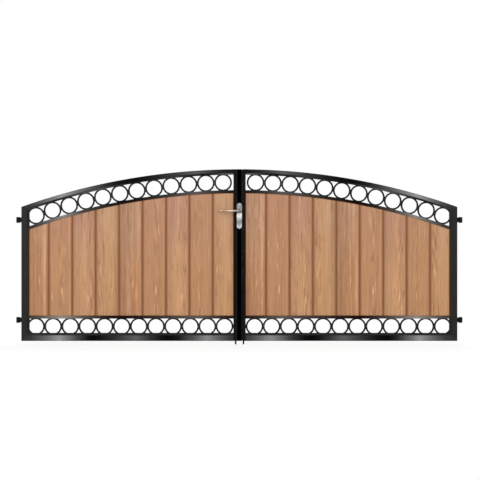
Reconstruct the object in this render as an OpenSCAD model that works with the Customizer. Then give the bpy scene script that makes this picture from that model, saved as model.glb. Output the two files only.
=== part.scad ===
// Pair of arched driveway gate leaves: steel box frames with ring rows and timber boards.
// X runs along the pair, the front faces -Y and Z is up. The origin lies on the centre line,
// halfway through the leaves, at the height of the drop rods' tips.

/* [Pair of leaves] */
// Width of the pair over its two hinge stiles
pair_w = 2950; // [2800:10:3100]
// Height of the top of the arch above the drop rods' tips
apex_h = 1187; // [1150:1:1400]
// Outer radius of the arched top
arch_r = 4400; // [4000:10:5000]
// Height of the leaves' undersides above the drop rods' tips
ground_gap = 25; // [15:1:40]
// Gap between the closed leaves
leaf_gap = 3; // [2.8:0.1:5]

/* [Steel frame] */
// Depth of the frame from front to rear
frame_d = 40; // [36:1:50]
// Width of a hinge stile
stile_w = 38; // [35:1:50]
// Height of a bottom rail
rail_h = 38; // [35:1:50]
// Height of the arch rail's face
arch_h = 25; // [20:1:35]
// Width of a meeting stile
meet_w = 20; // [18:1:30]
// Width of the lock post between the meeting stiles
post_w = 40; // [40:1:50]
// Wall of the box sections
tube_t = 2.5; // [2:0.1:3]
// Outer corner radius of the box sections
tube_r = 3.5; // [3.2:0.1:5]
// Thickness of the caps that close the upright tubes
cap_t = 3; // [2:0.5:5]

/* [Rings and inner rails] */
// Outside diameter of a ring
ring_od = 120; // [100:0.5:126]
// Wall of a ring
ring_wall = 12; // [8:0.25:16]
// Depth of a ring from front to rear
ring_d = 12; // [8:1:20]
// Weld gap between two rings, which meet on flats where their pitch is under their diameter
ring_gap = 0.4; // [0.2:0.1:2]
// Widest pitch of the straight row, whose rings share out the length evenly
ring_pitch = 117; // [112:0.1:130]
// Pitch of the arched row along its own centre arc
arch_ring_pitch = 117.4; // [112:0.1:130]
// Weld gap between a ring and what carries it
ring_seat = 0.25; // [0.1:0.05:0.3]
// Height of the channel under the arch rail that the arched row hangs in
band_h = 11.5; // [8:0.5:15]
// Depth of that channel from front to rear
band_d = 30; // [26:1:34]
// Height of the H-sections between the rings and the boards
channel_h = 21; // [17:1:30]
// Height of an H-section's lips in front of and behind the rings
lip_h = 7.5; // [4:0.5:10]
// Wall of the channels and H-sections
channel_t = 3; // [2:0.5:4]

/* [Boards] */
// Thickness of a board
board_t = 22; // [18:1:24]
// Face pitch of the boards
board_pitch = 158.6; // [140:0.2:170]
// How far the row of boards stands off its leaf's middle, towards the meeting stile
board_shift = 4; // [0:0.5:15]
// Clearance round the boards' ends and edges in the frame
board_fit = 0.3; // [0.1:0.1:1]
// Gap between the shoulders of two boards
joint_gap = 0.4; // [0.2:0.1:1]
// Width and depth of the bevel along a board's edge
bevel = 5.5; // [3:0.5:7]
// Length of a tongue
tongue_l = 7.5; // [5:0.5:9]
// Thickness of a tongue
tongue_t = 6; // [4:0.5:7]
// Clearance of a tongue in its groove
tongue_fit = 0.3; // [0.1:0.05:0.5]

/* [Retaining beads] */
// Width of a bead across the frame's inner edge
bead_w = 16; // [8:0.5:18]
// Thickness of a bead at its free edge
bead_edge = 3; // [2:0.5:4]
// Set-back of a bead from the face of the frame
bead_setback = 2; // [1:0.5:4]
// Width of a bead's level top
bead_flat = 3; // [2:0.5:5]
// Gap at the mitre between two beads
mitre_gap = 0.4; // [0.2:0.1:1]

/* [Hinges] */
// Distance from a hinge stile to its pins' axis
hinge_out = 22; // [20:1:30]
// Height of the upper hinge eye's centre
upper_eye_z = 844; // [750:1:850]
// Height of the lower hinge eye's centre
lower_eye_z = 167; // [120:1:250]
// Diameter of a hinge eye
eye_dia = 28; // [26:1:32]
// Height of a hinge eye
eye_h = 38; // [30:1:45]
// Diameter of a hinge eye's stem
stem_dia = 20; // [14:1:24]
// Diameter of a hinge pin
pin_dia = 16; // [12:1:18]
// Radial clearance of a pin in its eye
pin_fit = 0.08; // [0.02:0.01:0.1]
// How far a pin stands out of its eye
pin_proud = 1.5; // [1:0.5:4]

/* [Drop bolts] */
// Diameter of a drop rod
rod_dia = 11; // [10:0.5:12]
// Distance from a meeting stile's inner edge to its rod's axis
rod_inset = 5; // [4.8:0.1:8]
// Radial clearance of a rod in its guides
rod_fit = 0.3; // [0.1:0.05:0.4]
// Wall of a guide's sleeve
guide_wall = 1.2; // [1:0.1:1.3]
// Height of a guide
guide_h = 24; // [16:1:40]
// Thickness of a guide's foot plate
guide_foot = 3; // [2:0.5:5]
// Height of the lower guide's centre
low_guide_z = 62; // [50:1:100]
// Height of the upper guide's centre
high_guide_z = 300; // [250:1:310]
// Height of a rod's bent handle
handle_z = 432; // [430:1:500]
// Length of a rod's bent handle
handle_l = 85; // [50:1:120]
// Bend radius of a rod's handle
handle_bend = 14; // [12:1:20]

/* [Lock and levers] */
// Height of the levers' axis
lever_z = 905; // [890:1:910]
// Distance from the levers' axis down to the key's axis
key_drop = 72; // [70:1:80]
// Length of a lever plate
plate_h = 175; // [170:1:190]
// Distance from a lever plate's top to the levers' axis
plate_up = 54; // [52:1:60]
// Width of a lever plate
plate_w = 36; // [34:1:40]
// Thickness of a lever plate
plate_t = 8; // [6:1:10]
// Skin of a lever plate
plate_skin = 2.5; // [2:0.5:3]
// Bevel round a lever plate's face
plate_bevel = 1.8; // [1:0.1:2]
// Length of the straight, tapered part of a lever's grip
grip_l = 107.5; // [80:0.5:115]
// Radius of a lever's neck
neck_r = 10; // [9:0.5:11]
// Radial clearance of a neck in its plate
neck_fit = 0.3; // [0.2:0.1:0.5]
// Distance from a lever plate to the centre of its lever's grip
grip_out = 32; // [26:1:40]
// Radius of a grip at its root
grip_root = 9; // [8:0.5:10]
// Radius of a grip at its end
grip_end = 6.5; // [5:0.5:8]
// Bend radius of a lever's elbow
elbow_r = 14; // [11:1:18]
// Bend radius of a lever's returned tip
return_r = 16; // [12:1:20]
// Width of the square spindle
spindle_w = 8; // [7:0.5:9]
// Clearance round the square spindle
spindle_fit = 0.1; // [0.05:0.05:0.3]
// Distance from a lever plate's end to its screw
screw_in = 10; // [8:1:12]
// Least distance from the lower plate screw to the key cylinder above it and to the lock case
screw_clear = 1; // [0.5:0.5:3]
// Diameter of a plate screw
screw_dia = 5; // [4:0.5:6]
// Radius of a plate screw's head
head_r = 4.5; // [4:0.5:5]
// Height of a plate screw's head
head_h = 2; // [1:0.5:3]

/* [Lock case and bolts] */
// Thickness of the lock case
case_t = 16; // [14:1:18]
// Wall of the lock case
case_wall = 1.2; // [1:0.1:1.3]
// Height of the lock case above the levers' axis
case_up = 37; // [36:1:40]
// Depth of the lock case below the key's axis
case_down = 31; // [28:1:34]
// Length of the forend above the levers' axis
forend_up = 61; // [50:1:70]
// Length of the forend below the key's axis
forend_down = 57; // [45:1:65]
// Width of the forend and of the strike plate
forend_w = 22; // [20:1:24]
// Clearance of a let-in plate in its cut-out
let_in_fit = 0.25; // [0.1:0.05:0.3]
// Width of both bolts
bolt_w = 10; // [8:0.5:11]
// Height of the latch bolt and of the deadbolt
bolt_h = 15; // [12:0.5:15]
// Clearance round a bolt in its slot
bolt_fit = 0.3; // [0.2:0.1:0.5]
// How far the latch bolt stands out of the forend
latch_out = 9.5; // [9:0.1:10]
// Length of the follower's arm
arm_l = 14; // [13.8:0.1:14.2]
// Radius of the follower's arm at its end
arm_r = 2.5; // [2:0.1:2.8]
// Play between the follower's arm and the latch bolt's tail
latch_play = 0.7; // [0.6:0.1:1]
// Thickness of the latch bolt's tail
tail_t = 2.5; // [2:0.1:3]
// Radius of the key cylinder's round part
euro_r = 8.5; // [8:0.1:9]
// Width of the key cylinder's flat part
euro_w = 10; // [9:0.5:11]
// Height of the key cylinder over both parts
euro_h = 33; // [31:0.5:34]
// How far the key cylinder stands out of the plates
euro_proud = 2.5; // [1:0.5:4]
// Radius of the key plug
plug_r = 6.5; // [6:0.1:6.8]
// Radial clearance of the plug in its cylinder
plug_fit = 0.08; // [0.02:0.01:0.1]
// Reach of the key plug's cam
cam_r = 14.5; // [13:0.1:14.6]
// Width of the key plug's cam
cam_w = 9; // [7:0.5:10]
// Thickness of the closing seal
seal_t = 2.3; // [2:0.1:2.5]
// Width of the closing seal
seal_w = 6; // [4:0.5:7]

/* [Hidden] */
$fn = 48;
arc_fn = 720;
side_left = -1;
side_right = 1;
boards = 9;
weld = 0.1;
over = 1;

half_w = pair_w / 2;
field_out = half_w - stile_w;
arch_cz = apex_h - arch_r;
rail_top = ground_gap + rail_h;
inner_r = max(tube_r - tube_t, 0.5);
tall = apex_h + over;

band_r = arch_r - arch_h;
ring_row_r = band_r - channel_t - ring_seat - ring_od / 2;
channel_r = ring_row_r - ring_od / 2 - ring_seat;
ring_row_z = rail_top + ring_seat + ring_od / 2;
channel_z = ring_row_z + ring_od / 2 + ring_seat;
slot_w = board_t + 2 * board_fit;

mitre_in_z = arch_cz + sqrt(band_r * band_r - field_out * field_out);
mitre_out_z = arch_cz + sqrt(arch_r * arch_r - half_w * half_w);
mitre_rise = (mitre_out_z - mitre_in_z) / stile_w;

hinge_x = half_w + hinge_out;
pin_l = eye_h + 2 * pin_proud;
rod_r = rod_dia / 2;
sleeve_r = rod_r + rod_fit + guide_wall;
rod_y = frame_d / 2 + guide_foot + rod_r + rod_fit;

post_half = post_w / 2;
plate_y = frame_d / 2 + plate_t;
plate_top = lever_z + plate_up;
plate_mid_z = plate_top - plate_h / 2;
key_z = lever_z - key_drop;
case_back = post_half - tube_t - 0.2;
case_top = lever_z + case_up;
screw_zs = [plate_top - screw_in,
    min(plate_top - plate_h + screw_in, key_z + euro_r - euro_h - head_r - screw_clear)];
case_low = max(key_z - case_down, screw_zs[1] + screw_dia / 2 + screw_clear);
forend_top = lever_z + forend_up;
forend_low = key_z - forend_down;
latch_z = lever_z + arm_l + arm_r + 1 + bolt_h / 2;
dead_z = key_z + cam_r + 1.5 + bolt_h / 2;
tail_x = -arm_r - latch_play;
euro_half = plate_y + euro_proud;
grip_y = plate_y + grip_out;
elbow_y = grip_y - elbow_r;
return_x = elbow_r + grip_l;
spindle_half = elbow_y - 2 * over;

// Where each leaf's meeting stile and clear field begin, measured from the centre line
function meet_in(side) = post_half + (side > 0 ? leaf_gap : 0);
function field_in(side) = meet_in(side) + meet_w;
function field_mid(side) = (field_in(side) + field_out) / 2;
function joint_x(side, k) = field_mid(side) - board_shift + (k - boards / 2) * board_pitch;

// A leaf is drawn on the +X side and mirrored for the left
module leaf(side) {
    if (side < 0) mirror([1, 0, 0]) children();
    else children();
}

module round_rect(w, d, r) {
    square([w - 2 * r, d], center = true);
    square([w, d - 2 * r], center = true);
    for (x = [-1, 1], y = [-1, 1])
        translate([x * (w / 2 - r), y * (d / 2 - r)]) circle(r);
}

module tube_section(w, d) difference() {
    round_rect(w, d, tube_r);
    round_rect(w - 2 * tube_t, d - 2 * tube_t, inner_r);
}

// Prism through the whole depth, from an outline drawn in X and Z
module front_prism(points, d) rotate([90, 0, 0]) linear_extrude(d, center = true) polygon(points);

// Everything inside a circle about the arch's centre
module arch_disc(r, d) translate([0, 0, arch_cz]) rotate([90, 0, 0])
    cylinder(r = r, h = d, center = true, $fn = arc_fn);

// A section drawn in radius and depth, rolled round the arch's centre and cut between two X
module rolled(side, x_end, top_mitre = false) {
    sweep = asin(half_w / arch_r) + 2;
    low = mitre_in_z - stile_w - ring_od - 3 * channel_h;
    high = apex_h + over;
    far = top_mitre ? half_w : x_end;
    ends = top_mitre
        ? [[x_end, mitre_in_z], [far, mitre_out_z]]
        : [[far, low]];
    start = top_mitre ? [[field_in(side), low], [x_end, low]] : [[field_in(side), low]];
    intersection() {
        translate([0, 0, arch_cz]) rotate([90, 0, 0]) rotate([0, 0, 90 - sweep])
            rotate_extrude(angle = sweep, $fn = arc_fn) children();
        front_prism(concat(start, ends, [[far, high], [field_in(side), high]]), 2 * frame_d);
    }
}

module along_x(x0, x1) translate([x0, 0, 0]) rotate([90, 0, 90]) linear_extrude(x1 - x0) children();

// Upright tube with both ends capped, its top cut to the arch
module capped_upright(x0, x1) {
    mid = (x0 + x1) / 2;
    w = x1 - x0;
    difference() {
        intersection() {
            translate([mid, 0, ground_gap]) linear_extrude(tall) round_rect(w, frame_d, tube_r);
            arch_disc(arch_r, 2 * frame_d);
        }
        intersection() {
            translate([mid, 0, ground_gap + cap_t]) linear_extrude(tall)
                round_rect(w - 2 * tube_t, frame_d - 2 * tube_t, inner_r);
            arch_disc(arch_r - cap_t, 2 * frame_d);
        }
    }
}

module hinge_stile() color("#222224") difference() {
    translate([half_w - stile_w / 2, 0, ground_gap]) linear_extrude(tall)
        tube_section(stile_w, frame_d);
    front_prism([[field_out - over, rail_top + over], [half_w + over, ground_gap - over],
        [field_out - over, ground_gap - over]], 2 * frame_d);
    front_prism([[field_out - over, mitre_in_z - over * mitre_rise],
        [half_w + over, mitre_out_z + over * mitre_rise],
        [half_w + over, 2 * tall], [field_out - over, 2 * tall]], 2 * frame_d);
    for (z = [upper_eye_z, lower_eye_z])
        translate([half_w - stile_w / 2, 0, z]) rotate([0, 90, 0])
            cylinder(d = stem_dia + 2 * weld, h = stile_w);
}

module meeting_stile(side) color("#222224") capped_upright(meet_in(side), field_in(side));

module bottom_rail(side) color("#222224") difference() {
    along_x(field_in(side), half_w) translate([0, ground_gap + rail_h / 2])
        tube_section(frame_d, rail_h);
    front_prism([[field_out - over, rail_top + over], [half_w + over, ground_gap - over],
        [half_w + over, rail_top + over]], 2 * frame_d);
}

module arch_rail(side) color("#222224") rolled(side, field_out, true)
    translate([arch_r - arch_h / 2, 0]) tube_section(arch_h, frame_d);

module ring_band(side) color("#1c1c1e") rolled(side, field_out) difference() {
    translate([band_r - band_h, -band_d / 2]) square([band_h, band_d]);
    translate([band_r - channel_t - band_h, channel_t - band_d / 2])
        square([band_h, band_d - 2 * channel_t]);
}

// H-section with the web's ring side at v = 0, its lips below and its mouth for the boards above
module channel_section() difference() {
    translate([-slot_w / 2 - channel_t, -lip_h]) square([slot_w + 2 * channel_t, channel_h]);
    translate([-slot_w / 2, -channel_h]) square([slot_w, channel_h]);
    translate([-slot_w / 2, channel_t]) square([slot_w, channel_h]);
}

module upper_channel(side) color("#1c1c1e") rolled(side, field_out - bead_w - weld)
    translate([channel_r, 0]) rotate(90) channel_section();

module lower_channel(side) color("#1c1c1e") along_x(field_in(side), field_out - bead_w - weld)
    translate([0, channel_z]) channel_section();

// Bead section: u runs from the frame into the field, v from the board's face outwards
module bead_section() {
    back = slot_w / 2;
    front = frame_d / 2 - bead_setback;
    polygon([[0, back], [bead_w, back], [bead_w, back + bead_edge], [bead_flat, front], [0, front]]);
}

module retaining_beads(side) color("#1c1c1e") for (face = [0, 1]) mirror([0, face, 0]) {
    reach = bead_w + over;
    difference() {
        translate([field_out, 0, rail_top]) linear_extrude(tall) mirror([1, 0]) bead_section();
        front_prism([[field_out, rail_top], [field_out - reach, rail_top + reach],
            [field_out - reach, rail_top - over], [field_out + over, rail_top - over]], 2 * frame_d);
        difference() {
            front_prism([[field_out - reach, channel_z], [field_out + over, channel_z],
                [field_out + over, 2 * tall], [field_out - reach, 2 * tall]], frame_d);
            arch_disc(band_r - band_h - weld, 2 * frame_d);
        }
    }
    difference() {
        along_x(field_in(side), field_out) translate([0, rail_top])
            mirror([1, 0]) rotate(90) bead_section();
        front_prism([[field_out - mitre_gap, rail_top],
            [field_out - mitre_gap - reach, rail_top + reach],
            [field_out + over, rail_top + reach], [field_out + over, rail_top]], 2 * frame_d);
    }
}

module ring() rotate([90, 0, 0]) difference() {
    cylinder(d = ring_od, h = ring_d, center = true);
    cylinder(d = ring_od - 2 * ring_wall, h = ring_d + over, center = true);
}

function on_row(r, a) = [r * sin(a), arch_cz + r * cos(a)];

// Rings under the arch, each cut by the two radial planes halfway to its neighbours
module upper_rings(side) color("#1c1c1e") {
    reach = ring_od / 2 + ring_seat;
    first = asin((field_out - reach) / ring_row_r);
    last = asin((field_in(side) + reach) / ring_row_r);
    step = arch_ring_pitch / ring_row_r * 180 / PI;
    half = step / 2 - ring_gap / 2 / ring_row_r * 180 / PI;
    count = 1 + floor((first - last) / step);
    for (i = [0 : count - 1]) {
        a = first - i * step;
        out = a + (i == 0 ? step : half);
        in = a - (i == count - 1 ? step : half);
        centre = on_row(ring_row_r, a);
        intersection() {
            translate([centre[0], 0, centre[1]]) ring();
            front_prism([on_row(ring_row_r - ring_od, in), on_row(ring_row_r + ring_od, in),
                on_row(ring_row_r + ring_od, out), on_row(ring_row_r - ring_od, out)], 2 * ring_d);
        }
    }
}

// Rings over the bottom rail, each cut flat halfway to its neighbours
module lower_rings(side) color("#1c1c1e") {
    start = field_in(side) + ring_seat + ring_od / 2;
    length = field_out - ring_seat - ring_od / 2 - start;
    steps = ceil(length / ring_pitch);
    half = (length / steps - ring_gap) / 2;
    for (i = [0 : steps]) {
        x = start + i * length / steps;
        in = x - (i == 0 ? ring_od : half);
        out = x + (i == steps ? ring_od : half);
        intersection() {
            translate([x, 0, ring_row_z]) ring();
            front_prism([[in, rail_top], [out, rail_top], [out, channel_z], [in, channel_z]], 2 * ring_d);
        }
    }
}

// Board section: a groove faces the centre line, a tongue faces the hinges
module board_section(x0, x1, groove, tongue) {
    h = board_t / 2;
    b0 = groove ? bevel : 0;
    b1 = tongue ? bevel : 0;
    difference() {
        polygon([[x0, -h + b0], [x0 + b0, -h], [x1 - b1, -h], [x1, -h + b1],
            [x1, h - b1], [x1 - b1, h], [x0 + b0, h], [x0, h - b0]]);
        if (groove)
            translate([x0 - over, -tongue_t / 2 - tongue_fit])
                square([over + tongue_l + tongue_fit, tongue_t + 2 * tongue_fit]);
    }
    if (tongue)
        translate([x1 - over, -tongue_t / 2])
            square([over + tongue_l + joint_gap, tongue_t]);
}

module board(side, i) color(i % 2 == 0 ? "#b98c69" : "#c2946f") {
    first = i == 0;
    last = i == boards - 1;
    x0 = first ? field_in(side) + board_fit : joint_x(side, i) + joint_gap / 2;
    x1 = last ? field_out - board_fit : joint_x(side, i + 1) - joint_gap / 2;
    intersection() {
        translate([0, 0, channel_z + channel_t + board_fit]) linear_extrude(tall)
            board_section(x0, x1, !first, !last);
        arch_disc(channel_r - channel_t - board_fit, 2 * frame_d);
    }
}

module hinge_eyes() color("#161617") for (z = [upper_eye_z, lower_eye_z]) difference() {
    edge = 2;
    union() {
        translate([hinge_x, 0, z - eye_h / 2]) {
            cylinder(d1 = eye_dia - 2 * edge, d2 = eye_dia, h = edge);
            translate([0, 0, edge]) cylinder(d = eye_dia, h = eye_h - 2 * edge);
            translate([0, 0, eye_h - edge]) cylinder(d1 = eye_dia, d2 = eye_dia - 2 * edge, h = edge);
        }
        translate([field_out + tube_t + weld, 0, z]) rotate([0, 90, 0])
            cylinder(d = stem_dia, h = hinge_x - field_out - tube_t - weld);
    }
    translate([hinge_x, 0, z - eye_h / 2 - over])
        cylinder(r = pin_dia / 2 + pin_fit, h = eye_h + 2 * over);
}

module hinge_pins() color("#8a8c90") for (side = [-1, 1], z = [upper_eye_z, lower_eye_z])
    translate([side * hinge_x, 0, z - pin_l / 2]) cylinder(d = pin_dia, h = pin_l);

module rod_guides(side) color("#161617") {
    rod_x = meet_in(side) + rod_inset;
    for (z = [low_guide_z, high_guide_z]) translate([0, 0, z - guide_h / 2]) difference() {
        union() {
            translate([rod_x - sleeve_r, frame_d / 2, 0])
                cube([field_in(side) - rod_x + sleeve_r, guide_foot, guide_h]);
            translate([rod_x - sleeve_r, frame_d / 2, 0])
                cube([2 * sleeve_r, rod_y - frame_d / 2, guide_h]);
            translate([rod_x, rod_y, 0]) cylinder(r = sleeve_r, h = guide_h);
        }
        translate([rod_x, rod_y, -over]) cylinder(r = rod_r + rod_fit, h = guide_h + 2 * over);
    }
}

module drop_rod(side) color("#161617") translate([meet_in(side) + rod_inset, rod_y, 0]) {
    tip = 1.5;
    cylinder(r1 = rod_r - tip, r2 = rod_r, h = tip);
    translate([0, 0, tip]) cylinder(r = rod_r, h = handle_z - handle_bend - tip);
    translate([handle_bend, 0, handle_z - handle_bend]) rotate([90, 0, 0]) rotate([0, 0, 90])
        rotate_extrude(angle = 90) translate([handle_bend, 0]) circle(rod_r);
    translate([handle_bend, 0, handle_z]) rotate([0, 90, 0])
        cylinder(r = rod_r, h = handle_l - handle_bend - rod_r);
    translate([handle_l - rod_r, 0, handle_z]) sphere(rod_r);
}

// Key cylinder outline, drawn in X and Z about the key's axis and grown by a fit
module euro_prism(fit, d) translate([0, 0, key_z]) rotate([90, 0, 0])
    linear_extrude(d, center = true) {
        circle(euro_r + fit);
        translate([-euro_w / 2 - fit, euro_r - euro_h - fit]) square([euro_w + 2 * fit, euro_h - euro_r]);
        translate([0, euro_r - euro_h + euro_w / 2]) circle(euro_w / 2 + fit);
    }

module across(r, d, z) translate([0, 0, z]) rotate([90, 0, 0]) cylinder(r = r, h = d, center = true);

module let_in(x0, z0, z1, fit) translate([x0, -forend_w / 2 - fit, z0 - fit])
    cube([tube_t, forend_w + 2 * fit, z1 - z0 + 2 * fit]);

module bolt_slot(z, x0, x1, fit) translate([x0, -bolt_w / 2 - fit, z - bolt_h / 2 - fit])
    cube([x1 - x0, bolt_w + 2 * fit, bolt_h + 2 * fit]);

module lock_post() color("#1a1a1c") difference() {
    capped_upright(-post_half, post_half);
    across(neck_r + 2, 2 * frame_d, lever_z);
    euro_prism(1, 2 * frame_d);
    for (z = screw_zs) across(screw_dia / 2 + neck_fit, 2 * frame_d, z);
    let_in(post_half - tube_t, forend_low, forend_top, let_in_fit);
}

module closing_seal() color("#0d0d0d") {
    low = ground_gap + cap_t;
    top = arch_cz + sqrt(arch_r * arch_r - pow(post_half + seal_t, 2)) - cap_t;
    translate([post_half, frame_d / 2 - tube_r - seal_w, low]) cube([seal_t, seal_w, top - low]);
}

module lock_case() color("#9a9da0") difference() {
    union() {
        translate([-case_back, -case_t / 2, case_low])
            cube([case_back + post_half - tube_t, case_t, case_top - case_low]);
        let_in(post_half - tube_t, forend_low, forend_top, 0);
    }
    translate([-case_back + case_wall, -bolt_w / 2 - 1, case_low + case_wall])
        cube([case_back + post_half - tube_t - case_wall, bolt_w + 2, case_top - case_low - 2 * case_wall]);
    across(neck_r + neck_fit, 2 * case_t, lever_z);
    euro_prism(weld, 2 * case_t);
    for (z = [latch_z, dead_z]) bolt_slot(z, 0, post_half + over, bolt_fit);
}

module lever_plate() color("#c9c9c6") {
    r = plate_w / 2;
    flat = plate_h / 2 - r;
    difference() {
        translate([0, -frame_d / 2, plate_mid_z]) rotate([90, 0, 0]) {
            for (v = [-flat, flat]) translate([0, v, 0]) {
                cylinder(r = r, h = plate_t - plate_bevel);
                translate([0, 0, plate_t - plate_bevel])
                    cylinder(r1 = r, r2 = r - plate_bevel, h = plate_bevel);
            }
            rotate([90, 0, 0]) linear_extrude(2 * flat, center = true) polygon([[-r, 0], [r, 0],
                [r, plate_t - plate_bevel], [r - plate_bevel, plate_t],
                [plate_bevel - r, plate_t], [-r, plate_t - plate_bevel]]);
        }
        translate([0, -frame_d / 2 + over, plate_mid_z]) rotate([90, 0, 0]) {
            for (v = [-flat, flat]) translate([0, v, 0])
                cylinder(r = r - plate_skin, h = plate_t - plate_skin + over);
            translate([plate_skin - r, -flat, 0])
                cube([2 * (r - plate_skin), 2 * flat, plate_t - plate_skin + over]);
        }
        across(neck_r + neck_fit, 4 * frame_d, lever_z);
        euro_prism(neck_fit, 4 * frame_d);
        for (z = screw_zs) across(screw_dia / 2 + neck_fit, 4 * frame_d, z);
    }
}

module plate_screws() color("#b8b8b6") for (z = screw_zs) {
    across(screw_dia / 2, 2 * plate_y, z);
    for (y = [-1, 1]) translate([0, y * (plate_y + head_h / 2), z]) rotate([90, 0, 0])
        cylinder(r = head_r, h = head_h, center = true);
}

module key_cylinder() color("#b5b6b8") difference() {
    euro_prism(0, 2 * euro_half);
    across(plug_r + plug_fit, 3 * euro_half, key_z);
    across(cam_r + 0.5, cam_w + 1, key_z);
}

module key_plug() color("#8f8a78") difference() {
    union() {
        across(plug_r, 2 * euro_half, key_z);
        intersection() {
            across(cam_r, cam_w, key_z);
            translate([-plug_r + 2, -cam_w / 2, key_z - cam_r]) cube([2 * plug_r - 4, cam_w, cam_r]);
        }
    }
    for (y = [-1, 1]) translate([0, y * euro_half, key_z - 1]) cube([2.4, 16, 9], center = true);
}

module half_dome(r) difference() {
    sphere(r);
    translate([-r - over, -r - over, -2 * r]) cube([2 * (r + over), 2 * (r + over), 2 * r]);
}

// Lever on the front: neck, elbow, tapered grip and a tip that returns towards the leaf
module lever() color("#cfc9c2") {
    difference() {
        translate([0, -frame_d / 2 - 1, lever_z]) rotate([90, 0, 0])
            cylinder(r = neck_r, h = elbow_y - frame_d / 2 - 1);
        translate([0, 0, lever_z]) cube([spindle_w + 2 * spindle_fit, 2 * (spindle_half + over / 2),
            spindle_w + 2 * spindle_fit], center = true);
    }
    translate([-elbow_r, -elbow_y, lever_z]) rotate([0, 0, -90])
        rotate_extrude(angle = 90) translate([elbow_r, 0]) circle(grip_root);
    translate([-elbow_r, -grip_y, lever_z]) rotate([0, -90, 0])
        cylinder(r1 = grip_root, r2 = grip_end, h = grip_l);
    translate([-return_x, return_r - grip_y, lever_z]) {
        rotate([0, 0, 180]) rotate_extrude(angle = 90) translate([return_r, 0]) circle(grip_end);
        translate([-return_r, 0, 0]) rotate([-90, 0, 0]) half_dome(grip_end);
    }
}

module spindle() color("#77797c")
    translate([0, 0, lever_z]) cube([spindle_w, 2 * spindle_half, spindle_w], center = true);

module follower() color("#8f9194") difference() {
    union() {
        across(neck_r, case_t, lever_z);
        translate([-arm_r, -bolt_w / 4, lever_z]) cube([2 * arm_r, bolt_w / 2, arm_l]);
        across(arm_r, bolt_w / 2, lever_z + arm_l);
    }
    translate([0, 0, lever_z]) cube([spindle_w + 2 * spindle_fit, 2 * case_t,
        spindle_w + 2 * spindle_fit], center = true);
}

module latch_bolt() color("#a9abae") difference() {
    union() {
        bolt_slot(latch_z, tail_x - tail_t, post_half + latch_out, 0);
        translate([tail_x - tail_t, -bolt_w / 4, lever_z + arm_l - arm_r])
            cube([tail_t, bolt_w / 2, arm_r + 1 + bolt_h / 2 + arm_r]);
    }
    translate([0, 0, latch_z]) linear_extrude(2 * bolt_h, center = true)
        polygon([[post_half + 0.5, -bolt_w / 2], [post_half + latch_out, bolt_w / 4],
            [post_half + latch_out + over, bolt_w / 4], [post_half + latch_out + over, -bolt_w]]);
}

module deadbolt() color("#a9abae")
    bolt_slot(dead_z, -case_back + case_wall + bolt_fit, post_half - 0.2, 0);

module strike_plate() color("#a9abae") difference() {
    let_in(post_half + leaf_gap, dead_z - bolt_h, latch_z + bolt_h, 0);
    for (z = [latch_z, dead_z]) bolt_slot(z, 0, half_w, 1);
}

module right_meeting_stile() difference() {
    meeting_stile(side_right);
    color("#222224") let_in(post_half + leaf_gap, dead_z - bolt_h, latch_z + bolt_h, let_in_fit);
}

module left_hinge_stile() leaf(side_left) hinge_stile();
module left_meeting_stile() leaf(side_left) meeting_stile(side_left);
module left_bottom_rail() leaf(side_left) bottom_rail(side_left);
module left_arch_rail() leaf(side_left) arch_rail(side_left);
module left_ring_band() leaf(side_left) ring_band(side_left);
module left_upper_channel() leaf(side_left) upper_channel(side_left);
module left_lower_channel() leaf(side_left) lower_channel(side_left);
module left_retaining_beads() leaf(side_left) retaining_beads(side_left);
module left_upper_rings() leaf(side_left) upper_rings(side_left);
module left_lower_rings() leaf(side_left) lower_rings(side_left);
module left_board(i) leaf(side_left) board(side_left, i);
module left_hinge_eyes() leaf(side_left) hinge_eyes();
module left_rod_guides() leaf(side_left) rod_guides(side_left);
module left_drop_rod() leaf(side_left) drop_rod(side_left);
module front_lever_plate() lever_plate();
module rear_lever_plate() mirror([0, 1, 0]) lever_plate();
module front_lever() lever();
module rear_lever() mirror([0, 1, 0]) lever();

hinge_pins();
left_hinge_stile();
left_meeting_stile();
left_bottom_rail();
left_arch_rail();
left_ring_band();
left_upper_channel();
left_lower_channel();
left_retaining_beads();
left_upper_rings();
left_lower_rings();
left_board(0);  // left_board_1
left_board(1);  // left_board_2
left_board(2);  // left_board_3
left_board(3);  // left_board_4
left_board(4);  // left_board_5
left_board(5);  // left_board_6
left_board(6);  // left_board_7
left_board(7);  // left_board_8
left_board(8);  // left_board_9
left_hinge_eyes();
left_rod_guides();
left_drop_rod();
hinge_stile();  // right_hinge_stile
right_meeting_stile();
bottom_rail(side_right);  // right_bottom_rail
arch_rail(side_right);  // right_arch_rail
ring_band(side_right);  // right_ring_band
upper_channel(side_right);  // right_upper_channel
lower_channel(side_right);  // right_lower_channel
retaining_beads(side_right);  // right_retaining_beads
upper_rings(side_right);  // right_upper_rings
lower_rings(side_right);  // right_lower_rings
board(side_right, 0);  // right_board_1
board(side_right, 1);  // right_board_2
board(side_right, 2);  // right_board_3
board(side_right, 3);  // right_board_4
board(side_right, 4);  // right_board_5
board(side_right, 5);  // right_board_6
board(side_right, 6);  // right_board_7
board(side_right, 7);  // right_board_8
board(side_right, 8);  // right_board_9
hinge_eyes();  // right_hinge_eyes
rod_guides(side_right);  // right_rod_guides
drop_rod(side_right);  // right_drop_rod
lock_post();
closing_seal();
lock_case();
front_lever_plate();
rear_lever_plate();
plate_screws();
key_cylinder();
key_plug();
front_lever();
rear_lever();
spindle();
follower();
latch_bolt();
deadbolt();
strike_plate();
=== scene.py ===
import math
import random

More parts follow.
